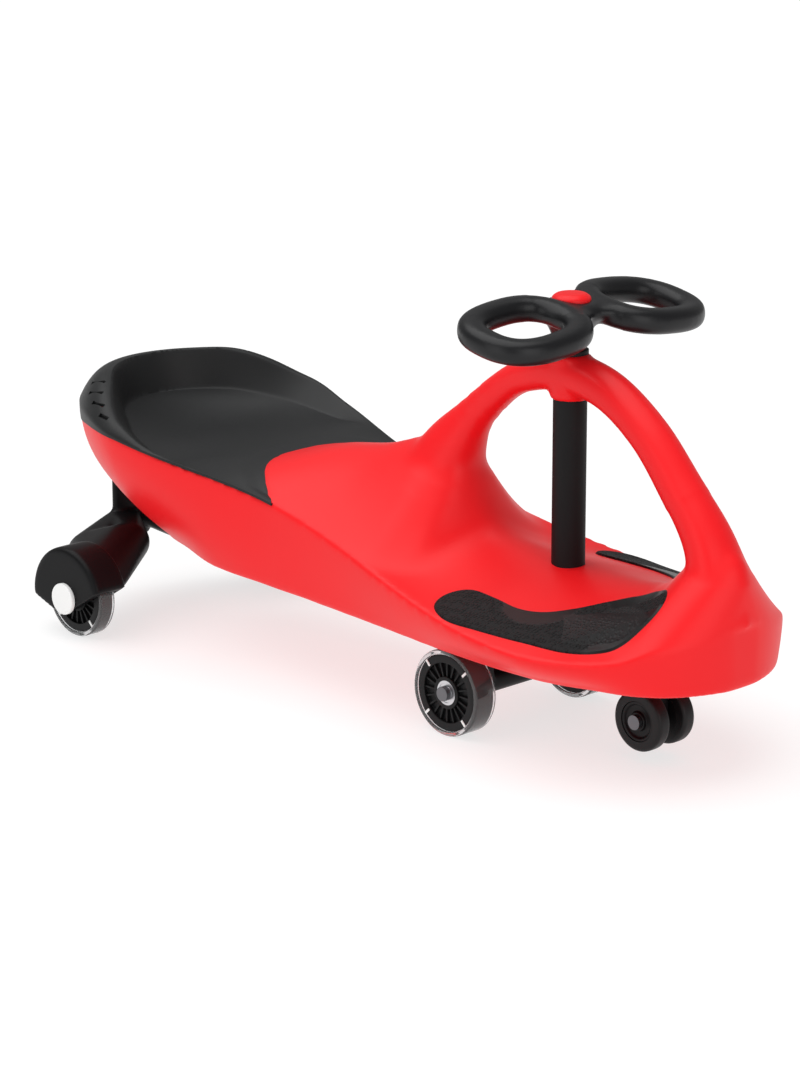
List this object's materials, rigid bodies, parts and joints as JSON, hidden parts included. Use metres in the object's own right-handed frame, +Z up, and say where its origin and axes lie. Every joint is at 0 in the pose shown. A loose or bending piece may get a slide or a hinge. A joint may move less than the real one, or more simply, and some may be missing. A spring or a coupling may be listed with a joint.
{
  "type": "wiggle car",
  "caption": "Ride-on wiggle car: moulded body with scooped seat and arch over the foot deck, swinging front arm under a looped steering wheel, roller wheels at the back",
  "frame": {"origin": "middle of the bounding box on the ground", "axes": "+X runs from tail to nose, +Y to the rider's left, +Z up; Y is the axis across the plane of symmetry"},
  "size_m": [0.8038, 0.3042, 0.391],
  "materials": {
    "body_plastic": "satin bright red moulding",
    "black_plastic": "satin black moulding",
    "pad_rubber": "dotted grip rubber",
    "bush_plastic": "smooth bearing plastic",
    "steel": "zinc-plated steel",
    "cap_plastic": "white moulding",
    "clear_tyre": "clear cast polyurethane",
    "black_rubber": "solid black tyre"
  },
  "bodies": {
    "chassis": {"body_shell": "body_plastic", "seat_insert": "black_plastic", "foot_pad_left": "pad_rubber", "foot_pad_right": "pad_rubber", "column_sleeve": "black_plastic", "upper_bush": "bush_plastic", "lower_bush": "bush_plastic", "rear_bracket": "black_plastic", "bracket_bolts": "steel", "rear_axles": "steel", "rear_spacers": "steel", "rear_cap_left": "cap_plastic", "rear_cap_right": "cap_plastic"},
    "steering": {"column_tube": "steel", "steering_wheel": "black_plastic", "steering_cap": "body_plastic", "steering_bolt": "steel", "thrust_washer": "bush_plastic", "swing_arm": "black_plastic", "column_bolt": "steel", "front_axle": "steel", "front_spacers": "steel", "front_axle_screws": "steel", "safety_axle": "steel"},
    "front_wheel_left": {"front_core_left": "black_plastic", "front_tyre_left": "clear_tyre", "front_bearings_left": "steel"},
    "front_wheel_right": {"front_core_right": "black_plastic", "front_tyre_right": "clear_tyre", "front_bearings_right": "steel"},
    "rear_wheel_left": {"rear_core_left": "black_plastic", "rear_tyre_left": "clear_tyre", "rear_bearings_left": "steel"},
    "rear_wheel_right": {"rear_core_right": "black_plastic", "rear_tyre_right": "clear_tyre", "rear_bearings_right": "steel"},
    "safety_wheel_left": {"safety_core_left": "black_plastic", "safety_tyre_left": "black_rubber"},
    "safety_wheel_right": {"safety_core_right": "black_plastic", "safety_tyre_right": "black_rubber"}
  },
  "joints": [
    {"name": "steering_turn", "type": "hinge", "parent": "chassis", "child": "steering", "pos_m": [0.202, 0, 0.2], "axis": [0, 0, 1], "continuous": true},
    {"name": "front_left_roll", "type": "hinge", "parent": "steering", "child": "front_wheel_left", "pos_m": [0.142, 0.078, 0.039], "axis": [0, 1, 0], "continuous": true},
    {"name": "front_right_roll", "type": "hinge", "parent": "steering", "child": "front_wheel_right", "pos_m": [0.142, -0.078, 0.039], "axis": [0, 1, 0], "continuous": true},
    {"name": "rear_left_roll", "type": "hinge", "parent": "chassis", "child": "rear_wheel_left", "pos_m": [-0.308, 0.1275, 0.039], "axis": [0, 1, 0], "continuous": true},
    {"name": "rear_right_roll", "type": "hinge", "parent": "chassis", "child": "rear_wheel_right", "pos_m": [-0.308, -0.1275, 0.039], "axis": [0, 1, 0], "continuous": true},
    {"name": "safety_left_roll", "type": "hinge", "parent": "steering", "child": "safety_wheel_left", "pos_m": [0.306, 0.0155, 0.037], "axis": [0, 1, 0], "continuous": true},
    {"name": "safety_right_roll", "type": "hinge", "parent": "steering", "child": "safety_wheel_right", "pos_m": [0.306, -0.0155, 0.037], "axis": [0, 1, 0], "continuous": true}
  ]
}
